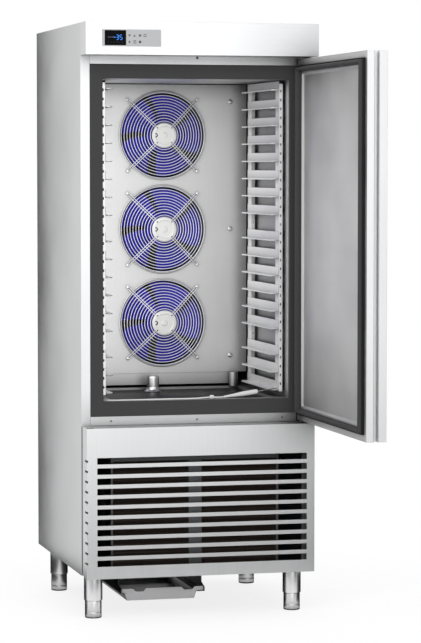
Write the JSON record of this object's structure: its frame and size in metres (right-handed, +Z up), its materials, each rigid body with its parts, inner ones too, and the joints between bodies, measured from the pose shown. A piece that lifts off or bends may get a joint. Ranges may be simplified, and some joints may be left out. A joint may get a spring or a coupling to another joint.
{
  "type": "blast chiller",
  "caption": "Upright blast chiller with a side-hung door, tray racks, fans behind wire guards, a core probe and a refrigerating unit behind a slotted panel, on adjustable feet.",
  "frame": {"origin": "middle of the footprint of the whole chiller with its door standing open at a right angle, on the floor", "axes": "+Z up, -Y the front that the door opens towards, +X to the right of someone facing the front, where the hinges are"},
  "size_m": [0.806, 1.578, 1.98],
  "materials": {
    "satin_steel": "satin",
    "inner_steel": "satin",
    "bright_steel": "polished",
    "galvanised_steel": "matte",
    "white_wire": "gloss",
    "motor_shell": "satin",
    "blade_blue": "satin",
    "black_blade": "satin",
    "dark_plastic": "matte",
    "keypad_grey": "satin",
    "display_black": "gloss",
    "board_green": "matte",
    "seal_rubber": "matte",
    "bush_white": "satin",
    "probe_white": "satin",
    "cable_silicone": "satin",
    "gland_black": "satin",
    "insulation_foam": "matte",
    "coil_aluminium": "satin",
    "condenser_fins": "matte",
    "vessel_black": "satin",
    "copper_pipe": "satin"
  },
  "bodies": {
    "cabinet": {"side_panel_left": "satin_steel", "side_panel_right": "satin_steel", "top_panel": "satin_steel", "front_header": "satin_steel", "cell_floor_sheet": "satin_steel", "fascia_panel": "satin_steel", "lower_grille_panel": "satin_steel", "rear_panel": "galvanised_steel", "base_panel": "galvanised_steel", "tray_rails": "galvanised_steel", "foam_insulation": "insulation_foam", "inner_liner": "inner_steel", "breaker_frame": "dark_plastic", "keypad_overlay": "keypad_grey", "display_window": "display_black", "control_board": "board_green", "hinge_upper": "bright_steel", "hinge_lower": "bright_steel", "fan_plate": "inner_steel", "fan_grille_upper": "white_wire", "fan_motor_upper": "motor_shell", "fan_grille_middle": "white_wire", "fan_motor_middle": "motor_shell", "fan_grille_lower": "white_wire", "fan_motor_lower": "motor_shell", "evaporator_coil": "coil_aluminium", "evaporator_tray": "inner_steel", "drain_standpipe": "bright_steel", "rack_left": "bright_steel", "rack_right": "bright_steel", "probe_gland": "gland_black", "probe_cable": "cable_silicone", "probe_ferrule": "probe_white", "probe_handle": "probe_white", "probe_needle": "bright_steel", "condenser_coil": "condenser_fins", "condenser_fan_motor": "motor_shell", "compressor": "vessel_black", "liquid_receiver": "vessel_black", "discharge_pipe": "copper_pipe", "leg_front_left": "bright_steel", "leg_front_right": "bright_steel", "leg_rear_left": "bright_steel", "leg_rear_right": "bright_steel"},
    "door": {"door_skin": "satin_steel", "door_handle_profile": "bright_steel", "door_liner": "inner_steel", "door_foam": "insulation_foam", "door_gasket": "seal_rubber", "door_bush_upper": "bush_white", "door_bush_lower": "bush_white"},
    "fan_upper": {"fan_rotor_upper": "blade_blue"},
    "fan_middle": {"fan_rotor_middle": "blade_blue"},
    "fan_lower": {"fan_rotor_lower": "blade_blue"},
    "condenser_fan": {"condenser_fan_rotor": "black_blade"},
    "drip_tray_slider": {"drip_tray": "bright_steel"},
    "foot_front_left_screw": {"foot_front_left": "bright_steel"},
    "foot_front_right_screw": {"foot_front_right": "bright_steel"},
    "foot_rear_left_screw": {"foot_rear_left": "bright_steel"},
    "foot_rear_right_screw": {"foot_rear_right": "bright_steel"}
  },
  "joints": [
    {"name": "door_hinge", "type": "hinge", "parent": "cabinet", "child": "door", "pos_m": [0.352, -0.036, 1.26], "axis": [0, 0, 1], "range_deg": [-90, 10]},
    {"name": "fan_spin_upper", "type": "hinge", "parent": "cabinet", "child": "fan_upper", "pos_m": [0, 0.5697, 1.6165], "axis": [0, 1, 0], "continuous": true},
    {"name": "fan_spin_middle", "type": "hinge", "parent": "cabinet", "child": "fan_middle", "pos_m": [0, 0.5697, 1.2865], "axis": [0, 1, 0], "continuous": true},
    {"name": "fan_spin_lower", "type": "hinge", "parent": "cabinet", "child": "fan_lower", "pos_m": [0, 0.5697, 0.9565], "axis": [0, 1, 0], "continuous": true},
    {"name": "condenser_fan_spin", "type": "hinge", "parent": "cabinet", "child": "condenser_fan", "pos_m": [-0.023, 0.096, 0.355], "axis": [0, 1, 0], "continuous": true},
    {"name": "drip_tray_slide", "type": "slide", "parent": "cabinet", "child": "drip_tray_slider", "axis": [0, -1, 0], "range_m": [0, 0.33]},
    {"name": "foot_screw_front_left", "type": "slide", "parent": "cabinet", "child": "foot_front_left_screw", "axis": [0, 0, -1], "range_m": [0, 0.04]},
    {"name": "foot_screw_front_right", "type": "slide", "parent": "cabinet", "child": "foot_front_right_screw", "axis": [0, 0, -1], "range_m": [0, 0.04]},
    {"name": "foot_screw_rear_left", "type": "slide", "parent": "cabinet", "child": "foot_rear_left_screw", "axis": [0, 0, -1], "range_m": [0, 0.04]},
    {"name": "foot_screw_rear_right", "type": "slide", "parent": "cabinet", "child": "foot_rear_right_screw", "axis": [0, 0, -1], "range_m": [0, 0.04]}
  ]
}
